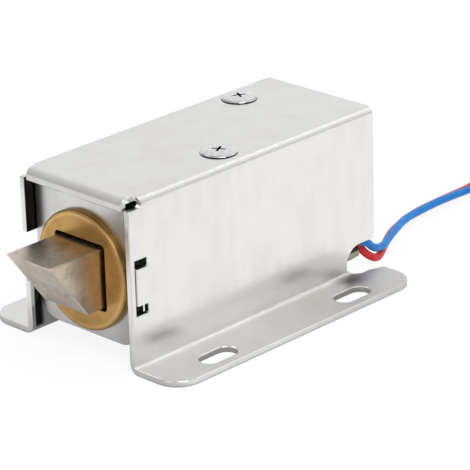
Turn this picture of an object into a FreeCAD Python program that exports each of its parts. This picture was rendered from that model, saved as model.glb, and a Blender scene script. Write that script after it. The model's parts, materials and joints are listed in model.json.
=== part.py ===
"""Solenoid cabinet lock: a spring latch bolt that a coil draws into a folded steel bracket.

Millimetres. X runs along the bolt, which points to -X. Z is up from the mounting surface that the
bracket's feet stand on. The origin is the middle of the four mounting slots, on that surface.
"""
import FreeCAD, Part
import math
import os

import Sketcher

ACROSS = FreeCAD.Vector(0, 0, 1)
CLOSE = 0.01  # two places nearer than this are the same
STRAIGHT_SHARE = 0.9  # an edge with this much of its direction along an axis runs along it
THROUGH = 1.5  # a cut this many sheets deep passes through the sheet
ARC_SHARE = 0.45  # share of the shorter run that an arc of a lead's path takes up
VOLUME_SLACK = 0.01  # share by which a swept lead may differ from section times length

doc = FreeCAD.newDocument("solenoid_lock")
sheet = doc.addObject("Spreadsheet::Sheet", "Sizes")


class Size:
    """A length with the sheet formula that it comes from, so that sums of sizes stay bound to the sheet."""

    def __init__(self, number, formula):
        self.number = number
        self.formula = formula

    def joined(self, other, sign, number):
        return Size(number, f"({self.formula} {sign} {as_size(other).formula})")

    def __add__(self, other):
        return self.joined(other, "+", self.number + as_size(other).number)

    def __sub__(self, other):
        return self.joined(other, "-", self.number - as_size(other).number)

    def __mul__(self, other):
        return self.joined(other, "*", self.number * as_size(other).number)

    def __truediv__(self, other):
        return self.joined(other, "/", self.number / as_size(other).number)

    def __neg__(self):
        return Size(-self.number, f"(0 - {self.formula})")

    def __radd__(self, other):
        return as_size(other) + self

    def __rsub__(self, other):
        return as_size(other) - self

    def __rmul__(self, other):
        return as_size(other) * self


def as_size(value):
    return value if isinstance(value, Size) else Size(float(value), f"{value}")


def size(alias, value, meaning):
    """Writes one driving dimension to the sheet and returns it."""
    row = size.row = size.row + 1
    sheet.set(f"A{row}", alias)
    sheet.set(f"B{row}", f"{value}")
    sheet.set(f"C{row}", meaning)
    sheet.setAlias(f"B{row}", alias)
    return Size(float(value), f"Sizes.{alias}")


size.row = 0

# Bracket: one nickel-plated sheet folded to a hat section
bracket_length = size("bracket_length", 53.6, "front edge to rear edge")
foot_reach = size("foot_reach", 9.2, "foot width outside each wall")
sheet_gauge = size("sheet_gauge", 1.0, "thickness of the bracket sheet")
top_bend = size("top_bend", 1.4, "outer radius between top and walls")
foot_bend = size("foot_bend", 0.6, "inner radius between wall and foot")
foot_corner = size("foot_corner", 4.2, "rounded corners of the feet")
lip_drop = size("lip_drop", 2.0, "height of the bent front lip")
lip_bend = size("lip_bend", 1.3, "outer radius of the lip bend")
relief_drop = size("relief_drop", 1.65, "corner relief below the top")
relief_width = size("relief_width", 3.05, "corner relief along the wall")
relief_slant = size("relief_slant", 0.87, "lean of the relief's rear edge")
relief_round = size("relief_round", 0.8, "rounded inner corners of the relief")
relief_depth = size("relief_depth", 1.45, "corner relief into the bend")
slot_pitch_long = size("slot_pitch_long", 30, "slot centres along the bolt")
slot_to_wall = size("slot_to_wall", 5.75, "slot centres outside each wall")
slot_length = size("slot_length", 7.0, "slot end to end")
slot_width = size("slot_width", 3.5, "slot width, for a screw of 3 mm")

# Wall cut-outs that take the front leg of the yoke
catch_web = size("catch_web", 0.9, "wall left in front of the catch slit")
catch_slit = size("catch_slit", 0.3, "slit in front of the catch tab")
catch_low = size("catch_low", 9.1, "lower edge of the catch cut")
catch_high = size("catch_high", 18.0, "upper edge of the catch cut")
catch_notch = size("catch_notch", 1.5, "height of the square notch at each end")
recess_high = size("recess_high", 17.0, "top of the open recess in the other wall")

# Notch for the leads
notch_radius = size("notch_radius", 3.0, "corner of the lead notch")
notch_centre = size("notch_centre", 2.35, "notch corner centre above the surface")
notch_front = size("notch_front", 6.55, "notch front end from the rear edge")
notch_foot = size("notch_foot", 1.15, "notch reach into the foot")
notch_flare = size("notch_flare", 1.3, "flare of the notch at the foot's rear edge")
notch_round = size("notch_round", 1.0, "wall corner where the notch meets the rear edge")

# Yoke: iron strip folded to a U that closes the magnetic path
yoke_gauge = size("yoke_gauge", 1.5, "thickness of the yoke strip and pole plate")
leg_setback = size("leg_setback", 1.9, "bracket front edge to front leg")
rear_setback = size("rear_setback", 2.1, "rear leg to bracket rear edge")
side_gap = size("side_gap", 0.15, "leg to wall, each side")
leg_bottom = size("leg_bottom", 3.05, "front leg and pole plate above the surface")
rear_bottom = size("rear_bottom", 5.7, "rear leg above the surface")
leg_corner = size("leg_corner", 3.6, "rounded lower corners of the legs")
yoke_bend = size("yoke_bend", 2.0, "outer radius of the yoke bends")
web_step = size("web_step", 1.6, "top web narrower than the legs, each side")
web_corner = size("web_corner", 0.5, "bevel that clears the bracket's inner bend")
pole_setback = size("pole_setback", 20.5, "bracket front edge to pole plate")

# Guide bush and latch bolt
washer_gauge = size("washer_gauge", 1.1, "flange thickness")
washer_margin = size("washer_margin", 1.1, "front leg wider than the flange, each side")
washer_round = size("washer_round", 0.45, "rounded front rim")
hub_reach = size("hub_reach", 0.8, "hub past the leg's rear face")
hub_step = size("hub_step", 1.3, "flange past the hub, radial")
hub_fit = size("hub_fit", 0.05, "hub to leg hole, radial")
bolt_width = size("bolt_width", 9.6, "square bolt")
bolt_gap = size("bolt_gap", 0.55, "bolt to bush hole, each side")
bush_corner = size("bush_corner", 0.7, "corners of the bush hole")
bush_wall = size("bush_wall", 2.85, "hub wall beside the square hole")
bolt_reach = size("bolt_reach", 10.4, "bolt tip past the bush flange")
ramp_start = size("ramp_start", 3.3, "flange to the foot of the slanted face")
bolt_edge = size("bolt_edge", 0.25, "worn long edges of the bolt")
damper_gauge = size("damper_gauge", 0.8, "rubber damper behind the bush")
stop_gap = size("stop_gap", 0.1, "collar to damper at rest")
collar_step = size("collar_step", 2.0, "stop collar past the bolt, each side")
collar_length = size("collar_length", 2.5, "stop collar along the bolt")

# Plunger, spring and coil
plunger_diameter = size("plunger_diameter", 9.0, "moving iron")
spigot_diameter = size("spigot_diameter", 5.0, "plunger nose in the bolt")
spigot_length = size("spigot_length", 6.0, "plunger nose length")
spigot_gap = size("spigot_gap", 0.05, "nose to bore, radial")
pin_diameter = size("pin_diameter", 1.2, "cross pin")
pin_short = size("pin_short", 0.6, "pin shorter than the collar, in all")
end_chamfer = size("end_chamfer", 0.4, "turned ends")
spring_wire = size("spring_wire", 0.5, "return spring wire")
spring_room = size("spring_room", 0.45, "spring to plunger, radial")
spring_turns = size("spring_turns", 6, "turns of the return spring")
spring_gap = size("spring_gap", 0.03, "spring end to seat")
pull_gap = size("pull_gap", 9.5, "plunger to fixed core with the bolt out")
core_length = size("core_length", 9.2, "fixed core in front of the rear leg")
tube_fit = size("tube_fit", 0.08, "plunger to guide tube, radial")
tube_wall = size("tube_wall", 0.3, "guide tube wall")
tube_seat = size("tube_seat", 0.07, "guide tube to bobbin, radial")
barrel_wall = size("barrel_wall", 0.8, "bobbin barrel wall")
flange_gauge = size("flange_gauge", 1.5, "bobbin flange thickness")
coil_side = size("coil_side", 0.55, "bobbin flange to wall, each side")
coil_under = size("coil_under", 3.2, "bobbin flange above the surface")
coil_over = size("coil_over", 1.5, "bobbin flange to the yoke's web")
winding_rim = size("winding_rim", 0.7, "flange past the winding, radial")
tape_gauge = size("tape_gauge", 0.3, "tape over the winding")
core_fit = size("core_fit", 0.04, "fixed core to guide tube, radial")
rivet_diameter = size("rivet_diameter", 5.0, "core tail through the rear leg")
rivet_head = size("rivet_head", 6.6, "peened head diameter")
rivet_height = size("rivet_height", 0.8, "peened head height")

# Cover screws
screw_thread = size("screw_thread", 3.0, "cover screw thread")
screw_fit = size("screw_fit", 0.05, "thread to tapped hole, radial")
screw_hole = size("screw_hole", 3.3, "hole in the bracket top")
screw_head = size("screw_head", 5.9, "pan head diameter")
screw_rise = size("screw_rise", 1.25, "pan head height")
screw_round = size("screw_round", 0.8, "rounded rim of the pan head")
screw_shank = size("screw_shank", 3.8, "screw under the head")
screw_off_pole = size("screw_off_pole", 1.5, "front screw's middle behind the pole plate")
screw_behind = size("screw_behind", 16.3, "rear screw behind the middle")
screw_inset = size("screw_inset", 1.7, "screws from the side edges of the web")
recess_span = size("recess_span", 3.2, "cross recess tip to tip")
recess_blade = size("recess_blade", 0.75, "cross recess blade width")
recess_depth = size("recess_depth", 0.9, "cross recess depth")

# Leads, their joint wrap, the stored coil and the plug
wrap_tuck = size("wrap_tuck", 0.9, "joint wrap top above the flange's lowest point, beside its curve")
wrap_side = size("wrap_side", 0.5, "joint wrap to wall")
wrap_width = size("wrap_width", 5.5, "joint wrap across the lock")
wrap_length = size("wrap_length", 7.4, "joint wrap along the lock")
wrap_height = size("wrap_height", 2.15, "joint wrap top to bottom")
wrap_setback = size("wrap_setback", 1.4, "joint wrap to bracket rear edge")
wrap_round = size("wrap_round", 0.8, "soft edges of the joint wrap")
lead_diameter = size("lead_diameter", 1.3, "insulated lead")
lead_gap = size("lead_gap", 0.05, "lead end to what it leaves or enters")
coil_x = size("coil_x", 72.5, "middle of the stored coil, X")
coil_y = size("coil_y", -9.7, "middle of the stored coil, Y")
coil_radius = size("coil_radius", 8.0, "middle of the stored turns")
coil_band = size("coil_band", 4.3, "width of the bundle of turns")
coil_stack = size("coil_stack", 4.0, "height of the bundle of turns")
tie_gauge = size("tie_gauge", 0.4, "tie strap thickness")
tie_width = size("tie_width", 2.4, "tie strap width")
tie_gap = size("tie_gap", 0.15, "tie to bundle")
lock_length = size("lock_length", 3.4, "lock block of the tie, along the run of the turns")
lock_width = size("lock_width", 2.6, "lock block across the run of the turns")
lock_rise = size("lock_rise", 1.3, "lock block above the strap")
plug_x = size("plug_x", 85.0, "cable side of the plug, X")
plug_y = size("plug_y", -1.7, "middle of the plug, Y")
plug_length = size("plug_length", 8.2, "plug along the leads")
plug_width = size("plug_width", 7.4, "plug across the leads")
plug_height = size("plug_height", 5.7, "plug height")
plug_step = size("plug_step", 0.4, "steps along the plug's upper sides")
plug_round = size("plug_round", 0.2, "upright edges of the plug")
contact_pitch = size("contact_pitch", 2.5, "between the two contacts")
contact_size = size("contact_size", 1.5, "square contact cavity")
contact_wall = size("contact_wall", 0.2, "contact sheet")
contact_room = size("contact_room", 0.05, "contact to cavity, each side")
contact_setback = size("contact_setback", 0.7, "contact behind the plug's mouth")
doc.recompute()

# Places worked out from the sizes
hub_diameter = bolt_width + (bolt_gap + bush_wall) * 2
washer_diameter = hub_diameter + hub_step * 2
collar_diameter = bolt_width + collar_step * 2
leg_y = washer_diameter / 2 + washer_margin
inner_y = leg_y + side_gap
wall_y = inner_y + sheet_gauge
edge_y = wall_y + foot_reach
flange_diameter = (inner_y - coil_side) * 2
winding_diameter = flange_diameter - winding_rim * 2
axis_height = coil_under + flange_diameter / 2
under_web = axis_height + flange_diameter / 2 + coil_over
under_top = under_web + yoke_gauge
bracket_height = under_top + sheet_gauge
front_x = -bracket_length / 2
rear_x = bracket_length / 2
leg_x = front_x + leg_setback
leg_back_x = leg_x + yoke_gauge
yoke_rear_x = rear_x - rear_setback
rear_leg_x = yoke_rear_x - yoke_gauge
web_y = leg_y - web_step
screw_side = web_y - screw_inset
pole_x = front_x + pole_setback
pole_back_x = pole_x + yoke_gauge
flange_x = leg_x - washer_gauge
hub_back_x = leg_back_x + hub_reach
tip_x = flange_x - bolt_reach
collar_x = hub_back_x + damper_gauge + stop_gap
collar_back_x = collar_x + collar_length
core_x = rear_leg_x - core_length
plunger_end_x = core_x - pull_gap
pin_x = collar_x + collar_length / 2
tube_bore = plunger_diameter + tube_fit * 2
tube_outer = tube_bore + tube_wall * 2
barrel_bore = tube_outer + tube_seat * 2
barrel_outer = barrel_bore + barrel_wall * 2
winding_x = pole_back_x + flange_gauge
winding_back_x = rear_leg_x - flange_gauge
screw_x = pole_back_x + screw_off_pole
tape_diameter = winding_diameter + tape_gauge * 2
spring_bore = plunger_diameter + spring_room * 2

pieces = []


def new_body(label):
    """A part with its own origin; its label is the piece's name."""
    body = doc.addObject("PartDesign::Body", f"Body_{label}")
    body.Label = label
    pieces.append(body)
    return body


def bind(thing, name, value):
    thing.setExpression(name, as_size(value).formula)


def place(body, x=0, y=0, z=0):
    for axis, value in zip("xyz", (x, y, z)):
        bind(body, f"Placement.Base.{axis}", value)


def new_sketch(body, name, role, offset=0):
    """A sketch on one of the body's own origin planes, moved along the plane's normal."""
    sketch = body.newObject("Sketcher::SketchObject", name)
    plane = next(f for f in body.Origin.OriginFeatures if f.Role == role)
    sketch.AttachmentSupport = [(plane, "")]
    sketch.MapMode = "FlatFace"
    bind(sketch, "AttachmentOffset.Base.z", offset)
    return sketch


def hold(sketch, kind, geometry, end, value):
    """Dimensions one point of the sketch from its origin."""
    value = as_size(value)
    row = sketch.addConstraint(
        Sketcher.Constraint(kind, -1, 1, geometry, end, value.number)
    )
    bind(sketch, f"Constraints[{row}]", value)


def outline(sketch, corners):
    """A closed outline of straight edges through the corners."""
    corners = [(as_size(x), as_size(y)) for x, y in corners]
    points = [FreeCAD.Vector(x.number, y.number, 0) for x, y in corners]
    count = len(points)
    edges = [
        sketch.addGeometry(Part.LineSegment(points[i], points[(i + 1) % count]))
        for i in range(count)
    ]
    for i in range(count):
        following = edges[(i + 1) % count]
        sketch.addConstraint(
            Sketcher.Constraint("Coincident", edges[i], 2, following, 1)
        )
    for edge, (x, y) in zip(edges, corners):
        hold(sketch, "DistanceX", edge, 1, x)
        hold(sketch, "DistanceY", edge, 1, y)


def rectangle(sketch, x_low, x_high, y_low, y_high):
    outline(
        sketch, [(x_low, y_low), (x_high, y_low), (x_high, y_high), (x_low, y_high)]
    )


def circle(sketch, x, y, diameter):
    x, y, diameter = as_size(x), as_size(y), as_size(diameter)
    centre = FreeCAD.Vector(x.number, y.number, 0)
    ring = sketch.addGeometry(Part.Circle(centre, ACROSS, diameter.number / 2))
    hold(sketch, "DistanceX", ring, 3, x)
    hold(sketch, "DistanceY", ring, 3, y)
    row = sketch.addConstraint(Sketcher.Constraint("Diameter", ring, diameter.number))
    bind(sketch, f"Constraints[{row}]", diameter)


def long_slot(sketch, x, y, length, width):
    """A slot with round ends, lengthwise along the sketch's X."""
    x, y, length, width = as_size(x), as_size(y), as_size(length), as_size(width)
    reach = (length - width) / 2
    radius = width.number / 2
    left = FreeCAD.Vector(x.number - reach.number, y.number, 0)
    right = FreeCAD.Vector(x.number + reach.number, y.number, 0)
    up = FreeCAD.Vector(0, radius, 0)
    quarter = math.pi / 2
    first = sketch.addGeometry(
        Part.ArcOfCircle(Part.Circle(left, ACROSS, radius), quarter, 3 * quarter)
    )
    low = sketch.addGeometry(Part.LineSegment(left - up, right - up))
    last = sketch.addGeometry(
        Part.ArcOfCircle(Part.Circle(right, ACROSS, radius), -quarter, quarter)
    )
    high = sketch.addGeometry(Part.LineSegment(right + up, left + up))
    for one, two in ((first, low), (low, last), (last, high), (high, first)):
        sketch.addConstraint(Sketcher.Constraint("Tangent", one, 2, two, 1))
    sketch.addConstraint(Sketcher.Constraint("Equal", first, last))
    row = sketch.addConstraint(
        Sketcher.Constraint("Diameter", first, width.number)
    )
    bind(sketch, f"Constraints[{row}]", width)
    hold(sketch, "DistanceX", first, 3, x - reach)
    hold(sketch, "DistanceY", first, 3, y)
    hold(sketch, "DistanceX", last, 3, x + reach)
    hold(sketch, "DistanceY", last, 3, y)


def pad(body, sketch, length, both_ways=False):
    """Material along the sketch's normal, from the sketch or to both sides of it."""
    feature = body.newObject("PartDesign::Pad", f"{sketch.Name}_pad")
    feature.Profile = sketch
    feature.Midplane = both_ways
    bind(feature, "Length", length)
    doc.recompute()
    return feature


def pocket(body, sketch, depth, both_ways=False, reverse=False):
    """Takes material away against the sketch's normal, and checks that it did."""
    before = body.Shape.Volume
    feature = body.newObject("PartDesign::Pocket", f"{sketch.Name}_pocket")
    feature.Profile = sketch
    feature.Midplane = both_ways
    feature.Reversed = reverse
    bind(feature, "Length", depth)
    doc.recompute()
    if body.Shape.Volume >= before - 1e-6:
        raise ValueError(f"{sketch.Name} takes nothing from {body.Label}")
    return feature


def revolve(body, sketch, axis="H_Axis"):
    feature = body.newObject("PartDesign::Revolution", f"{sketch.Name}_turned")
    feature.Profile = sketch
    feature.ReferenceAxis = (sketch, [axis])
    feature.Angle = 360
    doc.recompute()
    return feature


def round_edges(body, radius, test, kind="Fillet"):
    """Rounds or bevels the edges of the body whose middle and direction pass the test."""
    base = body.Tip
    names = []
    for number, edge in enumerate(base.Shape.Edges, 1):
        middle = edge.CenterOfMass
        first, last = edge.Vertexes[0].Point, edge.Vertexes[-1].Point
        along = last - first
        if along.Length > 1e-6:
            along.normalize()
        if test(middle, along):
            names.append(f"Edge{number}")
    if not names:
        raise ValueError(f"no edge of {body.Label} passes the test")
    feature = body.newObject(f"PartDesign::{kind}", f"{body.Label}_{kind}")
    feature.Base = (base, names)
    bind(feature, "Radius" if kind == "Fillet" else "Size", radius)
    doc.recompute()
    return feature


def near(value, target):
    return abs(value - as_size(target).number) < CLOSE


def turned_piece(label, profile, height=axis_height):
    """A piece turned about the bolt's axis: the profile gives places along X and radii."""
    body = new_body(label)
    place(body, z=height)
    sketch = new_sketch(body, f"{label}_profile", "XZ_Plane")
    outline(sketch, profile)
    revolve(body, sketch)
    return body


def ring_profile(x_low, x_high, bore, outer):
    return [
        (x_low, bore / 2),
        (x_high, bore / 2),
        (x_high, outer / 2),
        (x_low, outer / 2),
    ]


def make_mounting_bracket():
    body = new_body("mounting_bracket")
    block = new_sketch(body, "bracket_block", "YZ_Plane")
    rectangle(block, -wall_y, wall_y, 0, bracket_height)
    pad(body, block, bracket_length, both_ways=True)
    round_edges(
        body,
        top_bend,
        lambda m, d: abs(d.x) > STRAIGHT_SHARE and near(m.z, bracket_height),
    )
    inside = new_sketch(body, "bracket_inside", "YZ_Plane")
    rectangle(inside, -inner_y, inner_y, -sheet_gauge, under_top)
    pocket(body, inside, bracket_length * 2, both_ways=True)
    round_edges(
        body,
        top_bend - sheet_gauge,
        lambda m, d: abs(d.x) > STRAIGHT_SHARE and near(m.z, under_top),
    )
    feet = new_sketch(body, "bracket_feet", "XY_Plane")
    for side in (-1, 1):
        rectangle(feet, front_x, rear_x, inner_y * side, edge_y * side)
    pad(body, feet, sheet_gauge)
    round_edges(
        body,
        foot_bend,
        lambda m, d: abs(d.x) > STRAIGHT_SHARE
        and near(m.z, sheet_gauge)
        and near(abs(m.y), wall_y),
    )
    round_edges(
        body,
        foot_bend + sheet_gauge,
        lambda m, d: abs(d.x) > STRAIGHT_SHARE and near(m.z, 0) and near(abs(m.y), inner_y),
    )
    round_edges(
        body,
        foot_corner,
        lambda m, d: abs(d.z) > STRAIGHT_SHARE and near(abs(m.y), edge_y),
    )
    cut_corner_reliefs(body)
    lip = new_sketch(body, "bracket_lip", "YZ_Plane", front_x)
    lip_end = wall_y - relief_depth
    rectangle(lip, -lip_end, lip_end, bracket_height - lip_drop, under_top + sheet_gauge / 2)
    pad(body, lip, sheet_gauge)
    round_edges(
        body,
        lip_bend,
        lambda m, d: abs(d.y) > STRAIGHT_SHARE and near(m.z, bracket_height) and near(m.x, front_x),
    )
    cut_wall_openings(body)
    cut_lead_notch(body)
    slots = new_sketch(body, "mounting_slots", "XY_Plane", sheet_gauge)
    for along in (-1, 1):
        for across in (-1, 1):
            long_slot(
                slots,
                slot_pitch_long / 2 * along,
                (wall_y + slot_to_wall) * across,
                slot_length,
                slot_width,
            )
    pocket(body, slots, sheet_gauge)
    holes = new_sketch(body, "cover_holes", "XY_Plane", bracket_height)
    circle(holes, screw_x, -screw_side, screw_hole)
    circle(holes, screw_behind, screw_side, screw_hole)
    pocket(body, holes, sheet_gauge)


def cut_corner_reliefs(body):
    """The openings left where the lip bend meets the two wall bends."""
    low = bracket_height - relief_drop
    back = front_x + relief_width
    outside = front_x - sheet_gauge
    for name, offset in (
        ("right_relief", wall_y),
        ("left_relief", relief_depth - wall_y),
    ):
        relief = new_sketch(body, name, "XZ_Plane", offset)
        outline(
            relief,
            [
                (outside, low),
                (back, low),
                (back - relief_slant, bracket_height + sheet_gauge),
                (outside, bracket_height + sheet_gauge),
            ],
        )
        pocket(body, relief, relief_depth)
    round_edges(
        body,
        relief_round,
        lambda m, d: abs(d.y) > STRAIGHT_SHARE and near(m.x, back) and near(m.z, low),
    )


def cut_wall_openings(body):
    """The catch tab in one wall and the open recess in the other, at the front leg."""
    slit = front_x + catch_web
    tab = slit + catch_slit
    depth = sheet_gauge * THROUGH
    catch = new_sketch(body, "catch_cut", "XZ_Plane", wall_y)
    outline(
        catch,
        [
            (slit, catch_low),
            (leg_back_x, catch_low),
            (leg_back_x, catch_low + catch_notch),
            (tab, catch_low + catch_notch),
            (tab, catch_high - catch_notch),
            (leg_back_x, catch_high - catch_notch),
            (leg_back_x, catch_high),
            (slit, catch_high),
        ],
    )
    pocket(body, catch, depth)
    recess = new_sketch(body, "open_recess", "XZ_Plane", depth - wall_y)
    rectangle(recess, front_x - sheet_gauge, leg_back_x, catch_low, recess_high)
    pocket(body, recess, depth)
    round_edges(
        body,
        catch_slit,
        lambda m, d: abs(d.y) > STRAIGHT_SHARE and m.y < 0 and near(m.x, tab),
    )


def cut_lead_notch(body):
    """An opening with a round front end, from the wall into the foot, open to the rear edge."""
    depth = sheet_gauge * THROUGH
    centre = rear_x - notch_front + notch_radius
    arch = new_sketch(body, "notch_arch", "XZ_Plane", wall_y)
    circle(arch, centre, notch_centre, notch_radius * 2)
    pocket(body, arch, depth)
    mouth = new_sketch(body, "notch_mouth", "XZ_Plane", wall_y)
    rectangle(
        mouth,
        centre,
        rear_x + sheet_gauge,
        -sheet_gauge,
        notch_centre + notch_radius,
    )
    pocket(body, mouth, depth)
    round_edges(
        body,
        notch_round,
        lambda m, d: abs(d.y) > STRAIGHT_SHARE
        and near(m.x, rear_x)
        and near(m.z, notch_centre + notch_radius),
    )
    bite = new_sketch(body, "notch_bite", "XY_Plane", notch_centre)
    start = rear_x - notch_front
    outer = -wall_y - notch_foot
    outline(
        bite,
        [
            (start + notch_foot / 2, -inner_y + sheet_gauge),
            (start + notch_foot / 2, -wall_y),
            (start + notch_foot * 2, outer),
            (rear_x - notch_flare * 2, outer),
            (rear_x + sheet_gauge, outer - notch_flare),
            (rear_x + sheet_gauge, -inner_y + sheet_gauge),
        ],
    )
    pocket(body, bite, notch_centre * 2)


def make_yoke_frame():
    body = new_body("yoke_frame")
    side = new_sketch(body, "yoke_side", "XZ_Plane")
    outline(
        side,
        [
            (leg_x, leg_bottom),
            (leg_back_x, leg_bottom),
            (leg_back_x, under_web),
            (rear_leg_x, under_web),
            (rear_leg_x, rear_bottom),
            (yoke_rear_x, rear_bottom),
            (yoke_rear_x, under_top),
            (leg_x, under_top),
        ],
    )
    pad(body, side, leg_y * 2, both_ways=True)
    sides = new_sketch(body, "web_sides", "XY_Plane", under_top)
    for across in (-1, 1):
        rectangle(
            sides,
            leg_back_x + yoke_bend,
            rear_leg_x - yoke_bend,
            web_y * across,
            (leg_y + yoke_gauge) * across,
        )
    pocket(body, sides, yoke_gauge * 2)
    corners = new_sketch(body, "web_corners", "YZ_Plane")
    for across in (-1, 1):
        outline(
            corners,
            [
                ((leg_y - web_corner * 2) * across, under_top + web_corner),
                ((leg_y + web_corner) * across, under_top - web_corner * 2),
                ((leg_y + web_corner) * across, under_top + web_corner),
            ],
        )
    pocket(body, corners, bracket_length * 2, both_ways=True)
    round_edges(
        body,
        leg_corner,
        lambda m, d: abs(d.x) > STRAIGHT_SHARE and (near(m.z, leg_bottom) or near(m.z, rear_bottom)),
    )
    round_edges(
        body,
        yoke_bend,
        lambda m, d: abs(d.y) > STRAIGHT_SHARE
        and near(m.z, under_top)
        and (near(m.x, leg_x) or near(m.x, yoke_rear_x)),
    )
    seat = new_sketch(body, "bush_seat", "YZ_Plane", leg_x)
    circle(seat, 0, axis_height, hub_diameter + hub_fit * 2)
    pocket(body, seat, yoke_gauge, reverse=True)
    tail = new_sketch(body, "rivet_hole", "YZ_Plane", yoke_rear_x)
    circle(tail, 0, axis_height, rivet_diameter + hub_fit * 2)
    pocket(body, tail, yoke_gauge)
    taps = new_sketch(body, "tapped_holes", "XY_Plane", under_top)
    circle(taps, screw_x, -screw_side, screw_thread + screw_fit * 2)
    circle(taps, screw_behind, screw_side, screw_thread + screw_fit * 2)
    pocket(body, taps, yoke_gauge)


def make_pole_plate():
    body = new_body("pole_plate")
    face = new_sketch(body, "pole_face", "YZ_Plane", pole_x)
    rectangle(face, -leg_y, leg_y, leg_bottom, under_web)
    pad(body, face, yoke_gauge)
    round_edges(
        body,
        leg_corner,
        lambda m, d: abs(d.x) > STRAIGHT_SHARE and near(m.z, leg_bottom),
    )
    hole = new_sketch(body, "pole_hole", "YZ_Plane", pole_back_x)
    circle(hole, 0, axis_height, barrel_bore)
    pocket(body, hole, yoke_gauge)


def make_guide_bush():
    body = turned_piece(
        "guide_bush",
        [
            (flange_x, 0),
            (hub_back_x, 0),
            (hub_back_x, hub_diameter / 2),
            (leg_x, hub_diameter / 2),
            (leg_x, washer_diameter / 2),
            (flange_x, washer_diameter / 2),
        ],
    )
    round_edges(
        body,
        washer_round,
        lambda m, d: near(m.x, flange_x) and body.Tip.Shape.BoundBox.XMin > m.x - CLOSE,
    )
    cut_square_hole(body, flange_x, hub_back_x)


def cut_square_hole(body, x_low, x_high):
    half = bolt_width / 2 + bolt_gap
    hole = new_sketch(body, f"{body.Label}_hole", "YZ_Plane", x_high)
    rectangle(hole, -half, half, -half, half)
    pocket(body, hole, x_high - x_low)
    round_edges(
        body,
        bush_corner,
        lambda m, d: abs(d.x) > STRAIGHT_SHARE and near(abs(m.y), half),
    )


def make_damper_washer():
    back = hub_back_x + damper_gauge
    body = turned_piece(
        "damper_washer",
        [
            (hub_back_x, 0),
            (back, 0),
            (back, hub_diameter / 2),
            (hub_back_x, hub_diameter / 2),
        ],
    )
    cut_square_hole(body, hub_back_x, back)


def make_latch_bolt():
    body = new_body("latch_bolt")
    place(body, z=axis_height)
    half = bolt_width / 2
    bar = new_sketch(body, "bolt_section", "YZ_Plane", tip_x)
    rectangle(bar, -half, half, -half, half)
    pad(body, bar, collar_x - tip_x)
    ramp = new_sketch(body, "bolt_ramp", "XZ_Plane")
    foot = flange_x - ramp_start
    outline(
        ramp,
        [
            (tip_x, half),
            (tip_x - bolt_width, half),
            (tip_x - bolt_width, -half - bolt_width),
            (foot + (foot - tip_x), -half - bolt_width),
        ],
    )
    pocket(body, ramp, bolt_width * 2, both_ways=True)
    round_edges(
        body,
        bolt_edge,
        lambda m, d: abs(d.x) > STRAIGHT_SHARE and near(abs(m.y), half),
    )
    collar = new_sketch(body, "bolt_collar", "XZ_Plane")
    outline(
        collar,
        [
            (collar_x, 0),
            (collar_back_x, 0),
            (collar_back_x, collar_diameter / 2),
            (collar_x, collar_diameter / 2),
        ],
    )
    revolve(body, collar)
    bore = new_sketch(body, "spigot_bore", "YZ_Plane", collar_back_x)
    circle(bore, 0, 0, spigot_diameter + spigot_gap * 2)
    pocket(body, bore, spigot_length + spigot_gap * 2)
    cross = new_sketch(body, "pin_hole_in_bolt", "XY_Plane")
    circle(cross, pin_x, 0, pin_diameter)
    pocket(body, cross, collar_diameter * 2, both_ways=True)


def make_plunger():
    nose_x = collar_back_x - spigot_length
    body = turned_piece(
        "plunger",
        [
            (nose_x, 0),
            (plunger_end_x, 0),
            (plunger_end_x, plunger_diameter / 2 - end_chamfer),
            (plunger_end_x - end_chamfer, plunger_diameter / 2),
            (collar_back_x, plunger_diameter / 2),
            (collar_back_x, spigot_diameter / 2),
            (nose_x + end_chamfer, spigot_diameter / 2),
            (nose_x, spigot_diameter / 2 - end_chamfer),
        ],
    )
    cross = new_sketch(body, "pin_hole_in_plunger", "XY_Plane")
    circle(cross, pin_x, 0, pin_diameter)
    pocket(body, cross, plunger_diameter * 2, both_ways=True)


def make_bolt_pin():
    body = new_body("bolt_pin")
    place(body, z=axis_height)
    end = new_sketch(body, "pin_end", "XY_Plane")
    circle(end, pin_x, 0, pin_diameter - spigot_gap)
    pad(body, end, collar_diameter - pin_short, both_ways=True)


def round_section(start, way, diameter):
    return Part.Wire([Part.Circle(start, way, diameter.number / 2).toShape()])


def keep_swept(label, shape, path, diameter, seat):
    """Keeps a round wire swept along a path as a piece, once its volume is section times length."""
    expected = math.pi * diameter.number**2 / 4 * path.Length
    print(f"{label}: length {path.Length:.1f}, volume {shape.Volume:.2f} of {expected:.2f}")
    if abs(shape.Volume - expected) > VOLUME_SLACK * expected:
        raise ValueError(f"{label} has the wrong volume")
    piece = doc.addObject("Part::Feature", label)
    piece.Label = label
    piece.Shape = shape
    piece.Placement = FreeCAD.Placement(seat, FreeCAD.Rotation())
    pieces.append(piece)


def make_return_spring():
    """A coil spring between the bolt's collar and the pole plate, in half turns that meet smoothly."""
    start = collar_back_x.number + spring_gap.number + spring_wire.number / 2
    end = pole_x.number - spring_gap.number - spring_wire.number / 2
    radius = (spring_bore.number + spring_wire.number) / 2
    halves = int(spring_turns.number) * 2
    advance = (end - start) / halves
    edges = []
    for half in range(halves):
        side = -1 if half % 2 else 1
        first = FreeCAD.Vector(start + advance * half, 0, radius * side)
        last = FreeCAD.Vector(start + advance * (half + 1), 0, -radius * side)
        bulge = FreeCAD.Vector(0, (last - first).Length / 2 * side, 0)
        edges.append(Part.Arc(first, (first + last) / 2 + bulge, last).toShape())
    path = Part.Wire(edges)
    section = round_section(edges[0].Vertexes[0].Point, FreeCAD.Vector(0, 1, 0), spring_wire)
    coil = path.makePipe(Part.Face(section))
    seat = FreeCAD.Vector(0, 0, axis_height.number)
    keep_swept("return_spring", coil, path, spring_wire, seat)


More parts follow.
